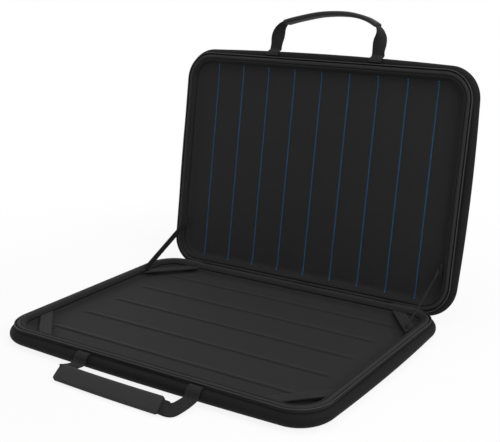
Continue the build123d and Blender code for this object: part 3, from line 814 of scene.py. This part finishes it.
def make_handle(half, legs, sleeve):
    """Two webbing legs, each from its anchor into the sleeve, and the sleeve."""
    shape = Shape()
    for x, leg in zip((-LEG_X, LEG_X), legs):
        stations = anchor_stations(x) + leg
        loft(shape, half, stations, strap_section(), per=6)
    webbing = build(half + "_handle_straps", shape, WEBBING)
    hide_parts(half + "_handle_anchors", half + "_handle_webbing")
    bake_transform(webbing)

    shape = Shape()
    ends = []
    for (x, y, z, lean) in sleeve:
        tilt = math.radians(lean)
        ends.append([x, y, z, 0, -math.cos(tilt), -math.sin(tilt), SLEEVE_WIDTH,
                     SLEEVE_THICKNESS])
    samples = spline(ends, 8)
    for sample in (samples[0], samples[-1]):
        sample[6] *= SLEEVE_END
        sample[7] *= SLEEVE_END
    loft(shape, half, samples, sleeve_section(), per=1)
    tube = build(half + "_handle_sleeve", shape, SLEEVE, half + "_handle")
    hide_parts(half + "_handle_grip")


def strap(x, y, z, across, width=WEB_WIDTH):
    """One station of webbing: its place, the direction of its width, and its width."""
    return (x, y, z, *across, width, WEB_THICKNESS)


def make_lid_handle():
    """The lid's handle, standing up and arched.

    The sleeve's stations are (x, y, z, lean in degrees) and a lean of 90 is edge on.
    """
    left = [strap(-66.3, -138.1, 9.1, (1, 0, 0)), strap(-65.9, -143.1, 9, (1, 0, 0)),
            strap(-65.1, -150.4, 9, (0.96, 0, -0.3)),
            strap(-62.6, -159.7, 9, (0.5, 0, -0.8), 13.5),
            strap(-58.4, -165.6, 9, (0.2, 0, -1), 13), strap(-52.0, -168.9, 9, (0, 0, -1), 13),
            strap(-44.5, -171.4, 9, (0, 0, -1), 13)]
    right = [strap(65.2, -138.1, 9.1, (1, 0, 0)), strap(65.1, -143.1, 9, (1, 0, 0)),
             strap(65.7, -150.4, 9, (0.96, 0, -0.3)),
             strap(66.2, -158.9, 9, (0.5, 0, -0.8), 13.5),
             strap(63.8, -165.7, 9, (0.1, 0, -1), 13), strap(58.8, -169.6, 9, (0, 0, -1), 13),
             strap(51.0, -173.0, 9, (0, 0, -1), 13)]
    sleeve = [(-55.2, -167.4, 9, 90), (-37.0, -172.3, 9, 90), (-7.0, -178.2, 9, 90),
              (24.0, -179.4, 9, 90), (47.0, -175.4, 9, 90), (61.5, -168.9, 9, 90)]
    make_handle("lid", (left, right), sleeve)


def make_base_handle():
    """The base's handle, fallen forward on to the ground."""
    left = [strap(-66.0, -138.5, 8.8, (1, 0, 0)), strap(-67.2, -143.8, 8.4, (0.9, -0.3, 0)),
            strap(-68.6, -149.4, 8.2, (0.7, -0.6, -0.3), 13),
            strap(-69.8, -153.9, 8.0, (0.3, -0.75, -0.6), 12),
            strap(-69.0, -157.4, 7.9, (0, -0.8, -0.6), 12),
            strap(-65.0, -158.6, 7.8, (0, -0.8, -0.62), 12),
            strap(-58.0, -158.9, 7.8, (0, -0.8, -0.62), 13)]
    right = [strap(65.8, -138.5, 8.4, (1, 0, 0)), strap(64.9, -145.0, 6.9, (1, -0.1, -0.1)),
             strap(62.6, -152.4, 5.3, (0.9, -0.4, -0.25)),
             strap(59.8, -157.4, 5.2, (0.6, -0.6, -0.55), 14.5),
             strap(55.2, -160.2, 6.9, (0.2, -0.65, -0.75), 13.5),
             strap(49.0, -160.7, 7.7, (0, -0.64, -0.77), 13),
             strap(41.0, -160.5, 7.8, (0, -0.7, -0.72), 13)]
    sleeve = [(-71.0, -158.4, 7.8, 38), (-42.0, -159.5, 7.9, 38), (-10.0, -160.2, 7.9, 39),
              (23.0, -160.5, 8.0, 41), (52.0, -160.5, 8.2, 44)]
    make_handle("base", (left, right), sleeve)


# ------------------------------------------------------------------ the case
def dress_cad():
    """New materials for the CAD pieces that stay."""
    for half in ("base", "lid"):
        finishes = {"_shell": FOAM, "_stiffener": BOARD, "_zip_stops": METAL}
        for suffix, material in finishes.items():
            assign(half + suffix, material)
    for side in SIDES:
        assign("zip_slider_" + side, METAL)
        assign("zip_pull_" + side, METAL)


def assign(node, material):
    """Give a CAD piece that stays this material."""
    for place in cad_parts[node].material_slots:
        place.material = material


def make_case():
    """Every visible piece of the case."""
    for half in ("base", "lid"):
        make_rim(half)
        make_binding_wrap(half)
        make_zip(half)
    ribs = (row_places(RIB_COUNT, RIB_PITCH), RIB_GRID)
    rows = (row_places(QUILT_ROWS, QUILT_PITCH), QUILT_GRID)
    even = ([], [])
    make_lining("base", rib_relief, even, ribs, FLOOR_CLOTH,
                ("base_floor_pad", "base_wall_lining"))
    make_lining("lid", quilt_relief, rows, even, LID_CLOTH,
                ("lid_quilted_pad", "lid_wall_lining"))
    make_stitches()
    for name, side in SIDES.items():
        make_corner_band("front_" + name, side, -1)
        make_corner_band("back_" + name, side, 1)
        make_tab("base", name, STAY_BASE_Y)
        make_tab("lid", name, HINGE_Y - STAY_LID_REACH)
        make_stay(name)
    make_hinge_cloth()
    make_lid_handle()
    make_base_handle()
    dress_cad()


# ------------------------------------------------------------------ camera and light
def make_camera():
    """Camera aimed by azimuth, elevation and roll, with a small shift."""
    azimuth, elevation, roll = (math.radians(v) for v in
                                (CAMERA_AZIMUTH, CAMERA_ELEVATION, CAMERA_ROLL))
    back = Vector((math.sin(azimuth) * math.cos(elevation),
                   -math.cos(azimuth) * math.cos(elevation), math.sin(elevation)))
    level = Vector((math.cos(azimuth), math.sin(azimuth), 0))
    upright = back.cross(level)
    right = math.cos(roll) * level + math.sin(roll) * upright
    up = -math.sin(roll) * level + math.cos(roll) * upright
    data = bpy.data.cameras.new("camera")
    data.sensor_fit = "HORIZONTAL"
    data.sensor_width = 36
    data.lens = CAMERA_LENS
    data.shift_x, data.shift_y = CAMERA_SHIFT
    camera = bpy.data.objects.new("camera", data)
    bpy.context.collection.objects.link(camera)
    place = Matrix((right, up, back)).transposed().to_4x4()
    place.translation = Vector(CAMERA_PLACE)
    camera.matrix_world = place
    bpy.context.scene.camera = camera


def make_light(name, place, size, energy):
    """Square area lamp turned towards the case."""
    data = bpy.data.lights.new(name, "AREA")
    data.energy = energy
    data.size = size
    light = bpy.data.objects.new(name, data)
    light.location = place
    aim = Vector(LAMP_TARGET) - Vector(place)
    light.rotation_euler = aim.to_track_quat("-Z", "Y").to_euler()
    bpy.context.collection.objects.link(light)


def seen_directly(links, nodes):
    """1 for rays from the camera, or by way of a mirror or glass, and 0 for the rest."""
    path = nodes.new("ShaderNodeLightPath")
    total = path.outputs["Is Camera Ray"]
    for name in ("Is Glossy Ray", "Is Transmission Ray"):
        add = nodes.new("ShaderNodeMath")
        add.operation = "MAXIMUM"
        links.new(total, add.inputs[0])
        links.new(path.outputs[name], add.inputs[1])
        total = add.outputs[0]
    return total


def make_world():
    """Plain pale surroundings, seen as white."""
    world = bpy.data.worlds.new("studio")
    world.use_nodes = True
    nodes, links = world.node_tree.nodes, world.node_tree.links
    lamp = nodes["Background"]
    lamp.inputs["Color"].default_value = WHITE
    lamp.inputs["Strength"].default_value = WORLD_LEVEL
    white = nodes.new("ShaderNodeBackground")
    white.inputs["Color"].default_value = WHITE
    white.inputs["Strength"].default_value = 1.0
    mix = nodes.new("ShaderNodeMixShader")
    links.new(seen_directly(links, nodes), mix.inputs[0])
    links.new(lamp.outputs[0], mix.inputs[1])
    links.new(white.outputs[0], mix.inputs[2])
    links.new(mix.outputs[0], nodes["World Output"].inputs["Surface"])
    bpy.context.scene.world = world


def make_floor():
    """Pale floor that keeps the shadow and fades to white around the case."""
    mesh = bpy.data.meshes.new("floor")
    corners = [(x * FLOOR_HALF, y * FLOOR_HALF, 0)
               for x, y in ((-1, -1), (1, -1), (1, 1), (-1, 1))]
    mesh.from_pydata(corners, [], [(0, 1, 2, 3)])
    floor = bpy.data.objects.new("floor", mesh)
    bpy.context.collection.objects.link(floor)
    material = bpy.data.materials.new("floor")
    material.use_nodes = True
    nodes, links = material.node_tree.nodes, material.node_tree.links
    shader = nodes["Principled BSDF"]
    shader.inputs["Base Color"].default_value = FLOOR_COLOUR
    shader.inputs["Roughness"].default_value = 1.0
    shader.inputs["Specular IOR Level"].default_value = 0.0
    place = nodes.new("ShaderNodeTexCoord")
    length = nodes.new("ShaderNodeVectorMath")
    length.operation = "LENGTH"
    links.new(place.outputs["Object"], length.inputs[0])
    fade = nodes.new("ShaderNodeMapRange")
    for socket, value in zip(list(fade.inputs)[1:5], (*FLOOR_FADE, FLOOR_WHITE, 1.0)):
        socket.default_value = value
    links.new(length.outputs["Value"], fade.inputs["Value"])
    seen = nodes.new("ShaderNodeMath")
    seen.operation = "MULTIPLY"
    links.new(seen_directly(links, nodes), seen.inputs[0])
    links.new(fade.outputs[0], seen.inputs[1])
    white = nodes.new("ShaderNodeEmission")
    white.inputs["Color"].default_value = WHITE
    mix = nodes.new("ShaderNodeMixShader")
    links.new(seen.outputs[0], mix.inputs[0])
    links.new(shader.outputs[0], mix.inputs[1])
    links.new(white.outputs[0], mix.inputs[2])
    links.new(mix.outputs[0], nodes["Material Output"].inputs["Surface"])
    mesh.materials.append(material)


def make_studio():
    for name, place, size, energy in LAMPS:
        make_light(name, place, size, energy)
    make_world()
    make_floor()
    bpy.context.scene.view_settings.view_transform = "Standard"


make_camera()
make_case()
make_studio()
